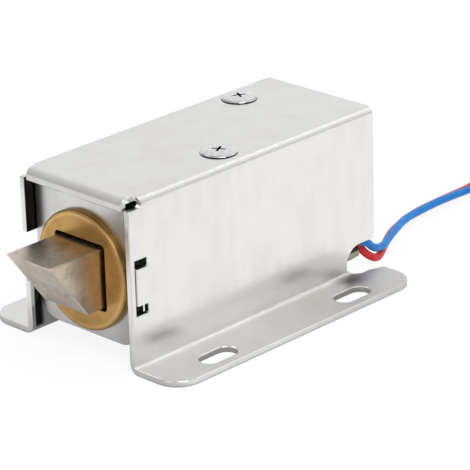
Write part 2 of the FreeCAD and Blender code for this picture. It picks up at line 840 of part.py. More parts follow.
def make_coil_pieces():
    turned_piece("guide_tube", ring_profile(pole_x, rear_leg_x, tube_bore, tube_outer))
    turned_piece(
        "coil_bobbin",
        [
            (pole_back_x, barrel_bore / 2),
            (rear_leg_x, barrel_bore / 2),
            (rear_leg_x, flange_diameter / 2),
            (winding_back_x, flange_diameter / 2),
            (winding_back_x, barrel_outer / 2),
            (winding_x, barrel_outer / 2),
            (winding_x, flange_diameter / 2),
            (pole_back_x, flange_diameter / 2),
        ],
    )
    turned_piece(
        "coil_winding",
        ring_profile(winding_x, winding_back_x, barrel_outer, winding_diameter),
    )
    turned_piece(
        "coil_tape",
        ring_profile(winding_x, winding_back_x, winding_diameter, tape_diameter),
    )
    radius = tube_bore / 2 - core_fit
    turned_piece(
        "fixed_core",
        [
            (core_x, 0),
            (yoke_rear_x + rivet_height, 0),
            (yoke_rear_x + rivet_height, rivet_head / 2 - rivet_height / 2),
            (yoke_rear_x + rivet_height / 2, rivet_head / 2),
            (yoke_rear_x, rivet_head / 2),
            (yoke_rear_x, rivet_diameter / 2),
            (rear_leg_x, rivet_diameter / 2),
            (rear_leg_x, radius),
            (core_x + end_chamfer, radius),
            (core_x, radius - end_chamfer),
        ],
    )


def make_cover_screw(label, x, y):
    """A cross-recessed pan head screw, turned about its own upright axis."""
    body = new_body(label)
    place(body, x, y, bracket_height)
    half = new_sketch(body, f"{label}_profile", "XZ_Plane")
    edge = screw_head / 2
    outline(
        half,
        [
            (0, -screw_shank),
            (screw_thread / 2 - end_chamfer, -screw_shank),
            (screw_thread / 2, -screw_shank + end_chamfer),
            (screw_thread / 2, 0),
            (edge, 0),
            (edge, screw_rise),
            (0, screw_rise),
        ],
    )
    revolve(body, half, "V_Axis")
    round_edges(body, screw_round, lambda m, d: near(m.z, screw_rise))
    cross = new_sketch(body, f"{label}_recess", "XY_Plane", screw_rise)
    tip = recess_span / 2
    side = recess_blade / 2
    outline(
        cross,
        [
            (-tip, -side),
            (-side, -side),
            (-side, -tip),
            (side, -tip),
            (side, -side),
            (tip, -side),
            (tip, side),
            (side, side),
            (side, tip),
            (-side, tip),
            (-side, side),
            (-tip, side),
        ],
    )
    pocket(body, cross, recess_depth)


def make_lead_joint_wrap():
    """The crinkled tape pad over the lead joints, between the coil and the lead notch."""
    body = new_body("lead_joint_wrap")
    low = coil_under + wrap_tuck - wrap_height
    side = -inner_y + wrap_side
    end = rear_x - wrap_setback
    flat = new_sketch(body, "wrap_outline", "XY_Plane", low)
    rectangle(flat, end - wrap_length, end, side, side + wrap_width)
    pad(body, flat, wrap_height)
    round_edges(body, wrap_round, lambda m, d: True)


def lead_points():
    """The routes of the two leads, from the coil's tape to the stored coil, chosen by hand."""
    red = [
        (19.6, -7.45, 6.0),
        (21.5, -8.2, 5.7),
        (25.8, -8.5, 4.5),
        (26.5, -9.2, 2.7),
        (27.4, -10.3, 1.5),
        (28.9, -10.4, 0.8),
        (30.7, -9.6, 0.7),
        (37.0, -5.7, 0.7),
        (40.4, -4.1, 0.7),
        (46.4, -2.3, 0.7),
        (50.5, -1.8, 0.7),
        (58.8, -1.6, 0.7),
        (61.9, -2.0, 0.9),
        (65.4, -1.7, 1.2),
    ]
    blue = [
        (20.4, -8.55, 7.3),
        (21.9, -9.3, 6.6),
        (23.5, -9.95, 5.6),
        (25.2, -10.0, 4.8),
        (26.9, -10.2, 4.1),
        (27.6, -10.3, 3.3),
        (28.7, -10.3, 2.6),
        (29.9, -9.9, 2.2),
        (31.5, -9.7, 2.0),
        (34.9, -7.8, 1.9),
        (41.3, -5.0, 1.9),
        (44.2, -4.3, 1.9),
        (52.6, -3.5, 1.8),
        (60.4, -3.5, 1.5),
        (64.3, -3.1, 1.2),
    ]
    return {"red_lead": red, "blue_lead": blue}


def tail_points():
    """The short ends from the stored coil to the plug."""
    leave = coil_x.number + coil_radius.number
    enter = plug_x.number - lead_gap.number
    middle = plug_y.number
    half = contact_pitch.number / 2
    height = plug_height.number / 2
    red = [
        (leave - 1.2, middle + 0.2, 1.9),
        ((leave + enter) / 2, middle + 0.6, 2.5),
        (enter, middle + half, height),
    ]
    blue = [
        (leave + 0.2, middle - 1.1, 1.9),
        ((leave + enter) / 2 + 0.4, middle - 1.5, 2.5),
        (enter, middle - half, height),
    ]
    return {"red_lead_tail": red, "blue_lead_tail": blue}


def lead_path(points):
    """Straight runs joined by tangent arcs, each arc as large as its two runs allow."""
    points = [FreeCAD.Vector(*p) for p in points]
    edges = []
    radii = []
    start = points[0]
    for before, corner, after in zip(points, points[1:], points[2:]):
        run_in = corner - before
        run_out = after - corner
        shorter = min(run_in.Length, run_out.Length)
        turn = run_in.getAngle(run_out)
        cut = ARC_SHARE * shorter
        radii.append(cut / math.tan(turn / 2))
        run_in.normalize()
        run_out.normalize()
        arc_start = corner - run_in * cut
        arc_end = corner + run_out * cut
        bow = run_out - run_in
        bow.normalize()
        centre_way = radii[-1] / math.cos(turn / 2)
        arc_middle = corner + bow * (centre_way - radii[-1])
        edges.append(Part.LineSegment(start, arc_start).toShape())
        edges.append(Part.Arc(arc_start, arc_middle, arc_end).toShape())
        start = arc_end
    edges.append(Part.LineSegment(start, points[-1]).toShape())
    return Part.Wire(edges), radii


def make_lead(label, points):
    """One insulated lead swept along its path."""
    path, radii = lead_path(points)
    start = FreeCAD.Vector(*points[0])
    section = round_section(start, FreeCAD.Vector(*points[1]) - start, lead_diameter)
    print(f"{label}: smallest radius {min(radii):.2f}")
    tube = path.makePipe(Part.Face(section))
    keep_swept(label, tube, path, lead_diameter, FreeCAD.Vector())


def make_lead_coil():
    """The outer shape of the stored turns, lying on the tie that holds them."""
    body = new_body("lead_coil")
    low = tie_gauge + tie_gap
    place(body, coil_x, coil_y, low)
    section = new_sketch(body, "bundle_section", "XZ_Plane")
    inner = coil_radius - coil_band / 2
    outer = coil_radius + coil_band / 2
    rectangle(section, inner, outer, 0, coil_stack)
    revolve(body, section, "V_Axis")
    round_edges(body, lead_diameter, lambda m, d: True, "Chamfer")


def make_lead_tie():
    """A flat strap round the bundle, across the run of the turns, with its lock block on top."""
    body = new_body("lead_tie")
    place(body, coil_x, coil_y - coil_radius, 0)
    loop = new_sketch(body, "tie_loop", "YZ_Plane", -tie_width / 2)
    half = coil_band / 2 + tie_gap + tie_gauge
    top = coil_stack + (tie_gauge + tie_gap) * 2
    rectangle(loop, -half, half, 0, top)
    pad(body, loop, tie_width)
    hole = new_sketch(body, "tie_hole", "YZ_Plane", tie_width / 2)
    rectangle(hole, tie_gauge - half, half - tie_gauge, tie_gauge, top - tie_gauge)
    pocket(body, hole, tie_width)
    round_edges(
        body,
        tie_gauge,
        lambda m, d: abs(d.x) > STRAIGHT_SHARE and near(abs(m.y), half),
    )
    lock = new_sketch(body, "tie_lock", "XY_Plane", top - tie_gauge / 2)
    rectangle(lock, -lock_length / 2, lock_length / 2, -lock_width / 2, lock_width / 2)
    pad(body, lock, lock_rise + tie_gauge / 2)


def make_plug_housing():
    """A plain two-way moulded housing with a latch rib on top and two cavities."""
    body = new_body("plug_housing")
    place(body, plug_x, plug_y, 0)
    half = plug_width / 2
    block = new_sketch(body, "plug_block", "XY_Plane")
    rectangle(block, 0, plug_length, -half, half)
    pad(body, block, plug_height)
    rib = new_sketch(body, "plug_side_steps", "YZ_Plane", 0)
    for side in (-1, 1):
        rectangle(
            rib,
            (half - plug_step) * side,
            (half + plug_step) * side,
            plug_height / 2,
            plug_height + plug_step,
        )
    pocket(body, rib, plug_length - plug_step * 2, reverse=True)
    cavities = new_sketch(body, "plug_cavities", "YZ_Plane", 0)
    low = plug_height / 2 - contact_size / 2
    for side in (-1, 1):
        middle = contact_pitch / 2 * side
        rectangle(
            cavities,
            middle - contact_size / 2,
            middle + contact_size / 2,
            low,
            low + contact_size,
        )
    pocket(body, cavities, plug_length * 2, both_ways=True)
    round_edges(
        body,
        plug_round,
        lambda m, d: abs(d.z) > STRAIGHT_SHARE and near(abs(m.y), half),
    )


def make_plug_contacts():
    """Two square-section spring sockets, one in each cavity."""
    body = doc.addObject("Part::MultiFuse", "plug_contacts")
    body.Label = "plug_contacts"
    sockets = []
    outer = contact_size - contact_room * 2
    bore = outer - contact_wall * 2
    length = plug_length - contact_setback * 2
    for number, side in enumerate((-1, 1), 1):
        solids = []
        for name, span in (("shell", outer), ("bore", bore)):
            box = doc.addObject("Part::Box", f"contact_{number}_{name}")
            bind(box, "Length", length)
            bind(box, "Width", span)
            bind(box, "Height", span)
            middle = plug_y + contact_pitch / 2 * side
            bind(box, "Placement.Base.x", plug_x + contact_setback)
            bind(box, "Placement.Base.y", middle - span / 2)
            bind(box, "Placement.Base.z", plug_height / 2 - span / 2)
            solids.append(box)
        socket = doc.addObject("Part::Cut", f"contact_{number}")
        socket.Base, socket.Tool = solids
        sockets.append(socket)
    body.Shapes = sockets
    pieces.append(body)
    doc.recompute()


make_mounting_bracket()
make_yoke_frame()
make_pole_plate()
make_guide_bush()
make_damper_washer()
make_latch_bolt()
make_plunger()
make_bolt_pin()
make_return_spring()
make_coil_pieces()
make_cover_screw("cover_screw_front", screw_x, -screw_side)
make_cover_screw("cover_screw_rear", screw_behind, screw_side)
make_lead_joint_wrap()
for label, points in {**lead_points(), **tail_points()}.items():
    make_lead(label, points)
make_lead_coil()
make_lead_tie()
make_plug_housing()
make_plug_contacts()
doc.recompute()

for thing in doc.Objects:
    if {"Invalid", "Error"} & set(thing.State):
        raise ValueError(f"{thing.Label} is {thing.State}")
for piece in pieces:
    if piece.Shape.isNull() or not piece.Shape.isValid() or not piece.Shape.Solids:
        raise ValueError(f"{piece.Label} has no valid solid")

os.makedirs("parts", exist_ok=True)
for piece in pieces:
    piece.Shape.exportStep(f"parts/{piece.Label}.step")
    print(piece.Label, len(piece.Shape.Solids), round(piece.Shape.Volume, 2))
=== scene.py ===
from contextlib import contextmanager
import json
import math

import bmesh
import bpy
from mathutils import Matrix, Vector, noise


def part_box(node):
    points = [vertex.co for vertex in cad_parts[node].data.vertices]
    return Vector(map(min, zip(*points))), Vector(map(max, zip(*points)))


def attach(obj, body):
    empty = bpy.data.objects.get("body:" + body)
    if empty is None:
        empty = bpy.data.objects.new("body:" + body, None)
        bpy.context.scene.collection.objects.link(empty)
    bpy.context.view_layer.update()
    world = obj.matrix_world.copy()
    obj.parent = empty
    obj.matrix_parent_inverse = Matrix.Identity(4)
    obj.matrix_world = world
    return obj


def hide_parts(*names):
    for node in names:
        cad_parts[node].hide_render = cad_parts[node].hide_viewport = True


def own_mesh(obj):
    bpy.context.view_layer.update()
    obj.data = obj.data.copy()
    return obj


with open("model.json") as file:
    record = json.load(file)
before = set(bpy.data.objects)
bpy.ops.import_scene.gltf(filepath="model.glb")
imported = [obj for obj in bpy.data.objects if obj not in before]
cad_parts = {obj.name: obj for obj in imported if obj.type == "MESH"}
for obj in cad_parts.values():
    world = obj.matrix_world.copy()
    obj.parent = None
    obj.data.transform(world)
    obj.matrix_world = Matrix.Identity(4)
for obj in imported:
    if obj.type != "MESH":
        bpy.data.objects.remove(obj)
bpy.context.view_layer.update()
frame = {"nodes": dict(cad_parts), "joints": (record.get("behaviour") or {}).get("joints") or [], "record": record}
bpy.ops.object.select_all(action="DESELECT")

MM = 0.001

# The photograph's camera in degrees, metres and millimetres of lens, fitted to the bracket's edges
CAMERA_AROUND = 44.63
CAMERA_ABOVE = 22.14
CAMERA_ROLL = -1.69
CAMERA_DISTANCE = 447.8 * MM
CAMERA_AIM = Vector((-1.8, 0, 13)) * MM
CAMERA_RIGHT = 6.22 * MM
CAMERA_UP = -1.44 * MM
CAMERA_LENS = 221.25
SENSOR_WIDTH = 36.0

# Places and sizes that the dressed pieces share with the solids
AXIS_HEIGHT = sum(c.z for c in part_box("guide_bush")) / 2
POLE_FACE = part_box("pole_plate")[0].x
LEAD_THICKNESS = 1.3 * MM
COIL_CENTRE = sum(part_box("lead_coil"), Vector()) / 2
COIL_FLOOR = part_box("lead_coil")[0].z
LEG_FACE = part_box("yoke_frame")[0].x
LEG_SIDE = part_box("yoke_frame")[1].y
WEB_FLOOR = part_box("pole_plate")[1].z
SHEET = 1.0 * MM
SIDE_GAP = 0.15 * MM
INNER_FACE = LEG_SIDE + SIDE_GAP
NEAR_WALL_FACE = -INNER_FACE - SHEET
TOP_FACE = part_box("mounting_bracket")[1].z
LIP_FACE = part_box("mounting_bracket")[0].x

# Almost black: painted shade for faces in the narrow gaps and folds, which look dark on the real lock
PAINTED_SHADE = (0.025, 0.024, 0.023)


class Reading:
    """A value or colour that varies over a surface. Each operator adds one Math node."""

    def __init__(self, nodes, socket):
        self.nodes = nodes
        self.socket = socket

    def worked(self, operation, *values):
        """What a Math node makes of the values."""
        return self.nodes.node("ShaderNodeMath", {"operation": operation}, dict(enumerate(values)))

    def __add__(self, other):
        return self.worked("ADD", self, other)

    def __sub__(self, other):
        return self.worked("SUBTRACT", self, other)

    def __rsub__(self, other):
        return self.worked("SUBTRACT", other, self)

    def __mul__(self, other):
        return self.worked("MULTIPLY", self, other)

    def __abs__(self):
        return self.worked("ABSOLUTE", self)

    __radd__ = __add__
    __rmul__ = __mul__

    def rising(self, low, high):
        """0 below low, 1 above high, and smooth between them."""
        return self.nodes.node(
            "ShaderNodeMapRange",
            {"interpolation_type": "SMOOTHSTEP"},
            {"Value": self, "From Min": low, "From Max": high},
        )

    def falling(self, low, high):
        """1 below low, 0 above high, and smooth between them."""
        return 1 - self.rising(low, high)

    def near(self, middle, width):
        """1 at the middle, and 0 from that width away."""
        return abs(self - middle).falling(0, width)

    def or_higher(self, other):
        """The higher of two readings."""
        return self.worked("MAXIMUM", self, other)


class Nodes:
    """A node tree on its way to being made."""

    def __init__(self, tree):
        self.tree = tree

    def node(self, kind, settings=None, values=None, output=0):
        """Adds a node with its settings and with its sockets' values or links."""
        made = self.tree.nodes.new(kind)
        for name, value in (settings or {}).items():
            setattr(made, name, value)
        for key, value in (values or {}).items():
            if isinstance(value, Reading):
                self.tree.links.new(value.socket, made.inputs[key])
            else:
                made.inputs[key].default_value = value
        return Reading(self, made.outputs[output])

    def blend(self, mask, low, high):
        """A colour between two colours."""
        low, high = [c if isinstance(c, Reading) else (*c, 1) for c in (low, high)]
        return self.node("ShaderNodeMix", {"data_type": "RGBA"}, {0: mask, 6: low, 7: high}, 2)

    def end(self, kind, shown):
        """Links what is shown to the tree's output."""
        self.tree.links.new(shown.socket, self.tree.nodes[kind].inputs["Surface"])


class Finish(Nodes):
    """One material on its way to being made."""

    def __init__(self, name):
        self.material = bpy.data.materials.new(name)
        self.material.use_nodes = True
        super().__init__(self.material.node_tree)
        self.shader = self.tree.nodes["Principled BSDF"]
        self.place = self.node("ShaderNodeTexCoord", output="Object")

    def turned_place(self, centre=(0, 0, 0), scale=(1, 1, 1)):
        """Object coordinates about a centre, stretched along each axis."""
        moved = [-c * s for c, s in zip(centre, scale)]
        return self.node(
            "ShaderNodeMapping", None, {"Vector": self.place, "Location": moved, "Scale": scale}
        )

    def clouds(self, scale, detail=3.0, stretch=(1, 1, 1), rough=0.55):
        """Soft noise from 0 to 1, with that many waves to a metre."""
        return self.node(
            "ShaderNodeTexNoise",
            None,
            {
                "Vector": self.turned_place(scale=stretch),
                "Scale": scale,
                "Detail": detail,
                "Roughness": rough,
            },
        )

    def spots(self, scale, stretch=(1, 1, 1)):
        """The distance to the nearest of many scattered points, which makes flecks and pits."""
        return self.node(
            "ShaderNodeTexVoronoi",
            None,
            {"Vector": self.turned_place(scale=stretch), "Scale": scale},
        )

    def along(self, axis):
        """The place along one axis, in metres."""
        return self.node("ShaderNodeSeparateXYZ", None, {"Vector": self.place}, "XYZ".index(axis))

    def set(self, **values):
        """Values or readings for the shader's sockets, with spaces written as underscores."""
        for name, value in values.items():
            socket = self.shader.inputs[name.replace("_", " ")]
            if isinstance(value, Reading):
                self.tree.links.new(value.socket, socket)
            elif name == "Base_Color":
                socket.default_value = (*value, 1)
            else:
                socket.default_value = value

    def relief(self, height, depth, strength=1.0):
        """Fine relief from a height between 0 and 1, that many metres deep."""
        bump = self.node(
            "ShaderNodeBump", None, {"Height": height, "Distance": depth, "Strength": strength}
        )
        self.set(Normal=bump)


def nickel_sheet():
    """Bright nickel plate on drawn sheet: faintly cloudy, with drawing lines along the bracket."""
    finish = Finish("nickel_sheet")
    cloud = finish.clouds(150, 4)
    streak = finish.clouds(420, 4, stretch=(1, 1, 0.22))
    grain = finish.clouds(7000, 2, stretch=(0.06, 1, 1))
    dull = (cloud * 0.55 + streak * 0.45).rising(0.40, 0.64)
    speck = finish.spots(1300).falling(0.04, 0.13) * 0.25
    length, side, height = [finish.along(axis) for axis in "XYZ"]
    tone_and_painted_shade = finish.blend(dull, (0.875, 0.865, 0.85), (0.845, 0.832, 0.812))

    # The feet: scuffed under the leads, with painted shade along the lower edge and towards the rear,
    # and a painted dark reflection beside the lead notch
    foot = height.falling(SHEET + 0.1 * MM, SHEET + 0.3 * MM)
    scuffed = foot * length.rising(15 * MM, 18 * MM) * (cloud * 0.5 + 0.6)
    painted_edge_shade = height.near(0.15 * MM, 0.14 * MM) * 0.6
    painted_shading = foot * length.rising(-8 * MM, 14 * MM) * 0.4
    tone_and_painted_shade = finish.blend(painted_edge_shade.or_higher(painted_shading), tone_and_painted_shade, (0.50, 0.48, 0.45))
    dark_patch = foot * length.near(19.0 * MM, 3.8 * MM) * side.near(-13.6 * MM, 3.0 * MM)
    tone_and_painted_shade = finish.blend(dark_patch * (cloud * 0.5 + 0.6), tone_and_painted_shade, (0.22, 0.19, 0.18))

    # Flecks all over, and painted shade on the face of the front lip
    face = length.falling(LIP_FACE + 0.02 * MM, LIP_FACE + 0.12 * MM)
    painted_lip_shade = face * height.rising(24.0 * MM, 24.3 * MM)
    flecks_and_painted_shade = finish.blend(speck.or_higher(painted_lip_shade * 0.5), tone_and_painted_shade, (0.56, 0.54, 0.50))

    # Painted shade on the far wall's inner face in front of the yoke's leg, above and behind its rim
    inner = side.near(INNER_FACE, SIDE_GAP) * length.falling(LEG_FACE, LEG_FACE + MM)
    behind_rim = length.rising(LIP_FACE + 0.6 * MM, LIP_FACE + 0.9 * MM)
    dark = inner * height.rising(15 * MM, 16 * MM).or_higher(behind_rim)
    finish.set(
        Base_Color=finish.blend(dark, flecks_and_painted_shade, PAINTED_SHADE),
        Metallic=1.0,
        Roughness=0.15 + 0.06 * dull + 0.06 * grain + 0.3 * scuffed,
    )

    # Stretched and pitted plate at the near wall's bends
    foot_bend = height.falling(1.5 * MM, 6 * MM)
    top_bend = height.rising(TOP_FACE - 1.5 * MM, TOP_FACE - 0.3 * MM)
    bends = side.near(NEAR_WALL_FACE, 1.3 * MM) * (foot_bend + top_bend)
    pitting = finish.clouds(3600, 2, rough=0.6) * bends
    finish.relief(cloud * 0.3 + streak * 0.2 + grain * 0.1 + pitting * 7, 0.06 * MM, 0.3)
    return finish.material


def zinc_iron():
    """Zinc plate on the yoke strip and pole plate: greyer and duller than the bracket."""
    finish = Finish("zinc_iron")
    cloud = finish.clouds(260, 4)
    grain = finish.clouds(5200, 2, stretch=(1, 1, 0.08))
    zinc = finish.blend(cloud.rising(0.35, 0.7), (0.76, 0.75, 0.74), (0.66, 0.65, 0.64))
    length, side, height = [finish.along(axis) for axis in "XYZ"]
    # Painted shade on the zinc, darker towards the near wall
    painted_shading = side.falling(-LEG_SIDE, -5 * MM) * (cloud * 0.6 + 0.6)
    zinc = finish.blend(painted_shading, zinc, (0.42, 0.41, 0.40))
    # Painted shade on the yoke's sides in the narrow gaps by the walls, and in the fold at the top of the front
    # leg
    edge = abs(side).rising(LEG_SIDE - 0.15 * MM, LEG_SIDE - 0.1 * MM)
    fold = height.rising(WEB_FLOOR - 0.2 * MM, WEB_FLOOR)
    fold = fold * length.falling(LEG_FACE + MM, LEG_FACE + 4 * MM)
    finish.set(
        Base_Color=finish.blend(edge.or_higher(fold), zinc, PAINTED_SHADE),
        Metallic=1.0,
        Roughness=0.24 + 0.12 * cloud,
    )
    finish.relief(cloud * 0.5 + grain * 0.5, 0.04 * MM, 0.30)
    return finish.material


def turned_brass():
    """Brass with the lathe's rings about the bolt's axis, brown tarnish and a painted highlight ring inside the
    rim.
    """
    finish = Finish("turned_brass")
    from_axis = finish.turned_place((0, 0, AXIS_HEIGHT), (0, 1, 1))
    radius = finish.node("ShaderNodeVectorMath", {"operation": "LENGTH"}, {0: from_axis}, "Value")
    outwards = finish.node("ShaderNodeCombineXYZ", None, {"X": radius})
    rings = finish.node("ShaderNodeTexNoise", None, {"Vector": outwards, "Scale": 9000.0})
    cloud = finish.clouds(330, 4)
    stain = finish.clouds(1500, 4).rising(0.56, 0.72)
    rim = radius.rising(9.35 * MM, 9.5 * MM)
    tarnish = cloud.rising(0.4, 0.75) * 0.4 + stain * 0.3 + rim * 0.4
    # A painted highlight on a ring just inside the rim
    painted_rim_highlight = radius.near(8.85 * MM, 0.4 * MM) * (1 - cloud * 0.5)
    brass = finish.blend(tarnish, (0.58, 0.34, 0.12), (0.31, 0.17, 0.055))
    finish.set(
        Base_Color=finish.blend(painted_rim_highlight * 0.5, brass, (0.90, 0.62, 0.28)),
        Metallic=1.0,
        Roughness=0.24 + 0.16 * tarnish + 0.05 * rings,
    )
    finish.relief(rings * 0.6 + cloud * 0.4, 0.02 * MM, 0.35)
    return finish.material


def worn_bolt():
    """Nickel worn warm on the latch bolt, with stains, scratches, a golden near side and a few pits."""
    finish = Finish("worn_bolt")
    cloud = finish.clouds(340, 4)
    scratch = finish.clouds(3800, 3, stretch=(0.12, 1, 0.4))
    dark_patch = finish.clouds(520, 2, stretch=(0.7, 1, 1)).rising(0.54, 0.68)
    pits = finish.spots(900).falling(0.03, 0.12)
    warm = finish.blend(cloud.rising(0.35, 0.7), (0.76, 0.68, 0.60), (0.62, 0.52, 0.41))
    stained = finish.blend(dark_patch * 0.45, warm, (0.36, 0.31, 0.26))
    side = -4.8 * MM
    near_side = finish.along("Y").falling(side + 0.05 * MM, side + 0.2 * MM)
    golden = near_side * finish.clouds(2600, 3, stretch=(1, 1, 0.5)).rising(0.42, 0.60)
    stained = finish.blend(golden * 0.7, stained, (0.80, 0.66, 0.44))
    finish.set(
        Base_Color=finish.blend(pits * 0.35, stained, (0.12, 0.10, 0.09)),
        Metallic=1.0,
        Roughness=0.21 + 0.10 * cloud + 0.10 * scratch,
    )
    finish.relief(scratch * 0.6 + cloud * 0.4 - pits * 0.5, 0.03 * MM, 0.4)
    return finish.material


def bright_screw():
    """Bright nickel, darker in patches round the head's rim, with painted shade at the seam where the head meets
    the sheet.
    """
    finish = Finish("bright_screw")
    cloud = finish.clouds(1400, 3)
    bright = finish.blend(cloud.rising(0.4, 0.7), (0.88, 0.88, 0.87), (0.76, 0.76, 0.75))
    height = finish.along("Z") - TOP_FACE
    # Painted shade at the seam where the head meets the sheet, and darker patches round the rim
    painted_seam_shade = height.falling(0.12 * MM, 0.16 * MM)
    rim_patches = height.near(0.26 * MM, 0.05 * MM) * finish.clouds(700, 2).rising(0.45, 0.58)
    finish.set(
        Base_Color=finish.blend(painted_seam_shade.or_higher(rim_patches * 0.75), bright, PAINTED_SHADE),
        Metallic=1.0,
        Roughness=0.12 + 0.12 * cloud,
    )
    finish.relief(cloud, 0.06 * MM, 0.7)
    return finish.material


def turned_iron():
    """Plated iron of the plunger and core, with fine rings round the axis."""
    finish = Finish("turned_iron")
    rings = finish.clouds(9000, 2, stretch=(1, 0.02, 0.02))
    cloud = finish.clouds(300, 3)
    finish.set(
        Base_Color=finish.blend(cloud, (0.66, 0.65, 0.63), (0.52, 0.51, 0.49)),
        Metallic=1.0,
        Roughness=0.25 + 0.15 * rings,
    )
    finish.relief(rings, 0.02 * MM, 0.4)
    return finish.material


def spring_steel():
    """Drawn wire and pin stock, grey and fairly smooth."""
    finish = Finish("spring_steel")
    cloud = finish.clouds(900, 3)
    finish.set(
        Base_Color=finish.blend(cloud, (0.66, 0.66, 0.67), (0.50, 0.50, 0.51)),
        Metallic=1.0,
        Roughness=0.22 + 0.14 * cloud,
    )
    finish.relief(cloud, 0.01 * MM, 0.4)
    return finish.material


def black_rubber():
    """Matt rubber of the damper washer."""
    finish = Finish("black_rubber")
    cloud = finish.clouds(1800, 4)
    finish.set(
        Base_Color=finish.blend(cloud, (0.018, 0.018, 0.018), (0.045, 0.044, 0.042)),
        Roughness=0.65 + 0.2 * cloud,
    )
    finish.relief(cloud, 0.04 * MM, 0.5)
    return finish.material


def moulded_nylon(name, pale, dark):
    """Natural nylon: bobbin and plug, with the faint flow marks of moulding."""
    finish = Finish(name)
    cloud = finish.clouds(260, 3)
    grain = finish.clouds(2200, 3)
    finish.set(
        Base_Color=finish.blend(cloud.rising(0.3, 0.75), pale, dark),
        Roughness=0.36 + 0.14 * grain,
        Subsurface_Weight=0.12,
        Subsurface_Scale=0.6 * MM,
    )
    finish.relief(grain, 0.015 * MM, 0.4)
    return finish.material


def enamelled_copper():
    """Turns of enamelled wire, side by side along the bobbin."""
    finish = Finish("enamelled_copper")
    wire = 0.22 * MM
    turn = finish.along("X") * (math.tau / wire)
    turns = turn.worked("SINE", turn)
    cloud = finish.clouds(500, 3)
    finish.set(
        Base_Color=finish.blend(cloud, (0.62, 0.22, 0.09), (0.42, 0.12, 0.05)),
        Metallic=0.9,
        Roughness=0.25 + 0.1 * cloud,
        Coat_Weight=0.6,
    )
    finish.relief(turns * 0.5 + 0.5, 0.06 * MM, 0.8)
    return finish.material


def paper_tape():
    """Pale crinkled paper tape, darker in patches of its crease pattern, with painted shade high up behind the
    lead notch.
    """
    finish = Finish("paper_tape")
    crease = finish.clouds(1900, 5, rough=0.68)
    stain = finish.clouds(420, 3)
    fibre = finish.clouds(9000, 2, stretch=(0.3, 1, 1))
    height = finish.along("Z")
    # Painted shade on the wrap high up behind the lead notch
    painted_notch_shade = height.rising(3.2 * MM, 3.5 * MM) * height.falling(6 * MM, 8 * MM)
    painted_notch_shade = painted_notch_shade * finish.along("X").rising(15 * MM, 17 * MM)
    tone = finish.blend(stain.rising(0.35, 0.7), (0.66, 0.60, 0.50), (0.50, 0.43, 0.34))
    creased = finish.blend(crease.rising(0.5, 0.75) * 0.6, tone, (0.30, 0.24, 0.18))
    finish.set(
        Base_Color=finish.blend(painted_notch_shade, creased, PAINTED_SHADE),
        Roughness=0.6 + 0.2 * fibre,
    )
    finish.relief(crease * 0.8 + fibre * 0.2, 0.12 * MM, 0.8)
    return finish.material


def soft_vinyl(name, light, deep):
    """Lead insulation: smooth soft vinyl with a faint drag along the lead."""
    finish = Finish(name)
    cloud = finish.clouds(420, 3)
    drag = finish.clouds(2600, 3)
    finish.set(
        Base_Color=finish.blend(cloud.rising(0.3, 0.75), light, deep),
        Roughness=0.34 + 0.14 * drag,
        Specular_IOR_Level=0.35,
        Subsurface_Weight=0.08,
        Subsurface_Scale=0.4 * MM,
    )
    finish.relief(drag, 0.012 * MM, 0.35)
    return finish.material


def moulded_strap():
    """Black nylon of the lead tie."""
    finish = Finish("moulded_strap")
    grain = finish.clouds(2600, 3)
    finish.set(
        Base_Color=finish.blend(grain, (0.020, 0.020, 0.021), (0.050, 0.050, 0.052)),
        Roughness=0.38 + 0.2 * grain,
    )
    finish.relief(grain, 0.02 * MM, 0.4)
    return finish.material


def tinned_contact():
    """Bronze with bright tin, for the plug's sockets."""
    finish = Finish("tinned_contact")
    cloud = finish.clouds(1600, 3)
    finish.set(
        Base_Color=finish.blend(cloud, (0.80, 0.79, 0.76), (0.66, 0.65, 0.61)),
        Metallic=1.0,
        Roughness=0.24 + 0.14 * cloud,
    )
    finish.relief(cloud, 0.01 * MM, 0.3)
    return finish.material


finishes = {
    "nickel_sheet": nickel_sheet(),
    "zinc_iron": zinc_iron(),
    "brass": turned_brass(),
    "black_rubber": black_rubber(),
    "spring_steel": spring_steel(),
    "nylon": moulded_nylon("bobbin_nylon", (0.80, 0.76, 0.66), (0.70, 0.64, 0.52)),
    "copper_wire": enamelled_copper(),
    "pale_tape": paper_tape(),
    "turned_iron": turned_iron(),
    "bright_screw": bright_screw(),
    "red_insulation": soft_vinyl("red_vinyl", (0.84, 0.040, 0.055), (0.72, 0.030, 0.045)),
    "blue_insulation": soft_vinyl("blue_vinyl", (0.012, 0.265, 0.78), (0.010, 0.215, 0.68)),
    "black_tie": moulded_strap(),
    "white_plug": moulded_nylon("plug_nylon", (0.86, 0.85, 0.80), (0.80, 0.78, 0.72)),
    "tinned_contact": tinned_contact(),
    "nickel_bolt": worn_bolt(),
}
finishes["coil_outline"] = finishes["red_insulation"]


def alone(piece):
    """Only this piece is selected, and it is the active one."""
    bpy.ops.object.select_all(action="DESELECT")
    piece.select_set(True)
    bpy.context.view_layer.objects.active = piece


def linked(name, data):
    """A new object in the scene that shows this mesh, curve, lamp or camera."""
    made = bpy.data.objects.new(name, data)
    bpy.context.scene.collection.objects.link(made)
    return made


def from_points(name, points, edges, faces):
    """A new piece from its points and what joins them."""
    mesh = bpy.data.meshes.new(name)
    mesh.from_pydata(points, edges, faces)
    return linked(name, mesh)


@contextmanager
def editing(piece):
    """Edit mode on this piece alone, with all of its mesh selected."""
    alone(piece)
    bpy.ops.object.mode_set(mode="EDIT")
    bpy.ops.mesh.select_all(action="SELECT")
    yield
    bpy.ops.object.mode_set(mode="OBJECT")


def settle(piece):
    """The piece's object goes to the origin, with its place in its mesh."""
    alone(piece)
    bpy.ops.object.transform_apply(location=True, rotation=True, scale=True)


def apply_all(piece):
    """Every modifier becomes part of the mesh."""
    alone(piece)
    for modifier in list(piece.modifiers):
        bpy.ops.object.modifier_apply(modifier=modifier.name)


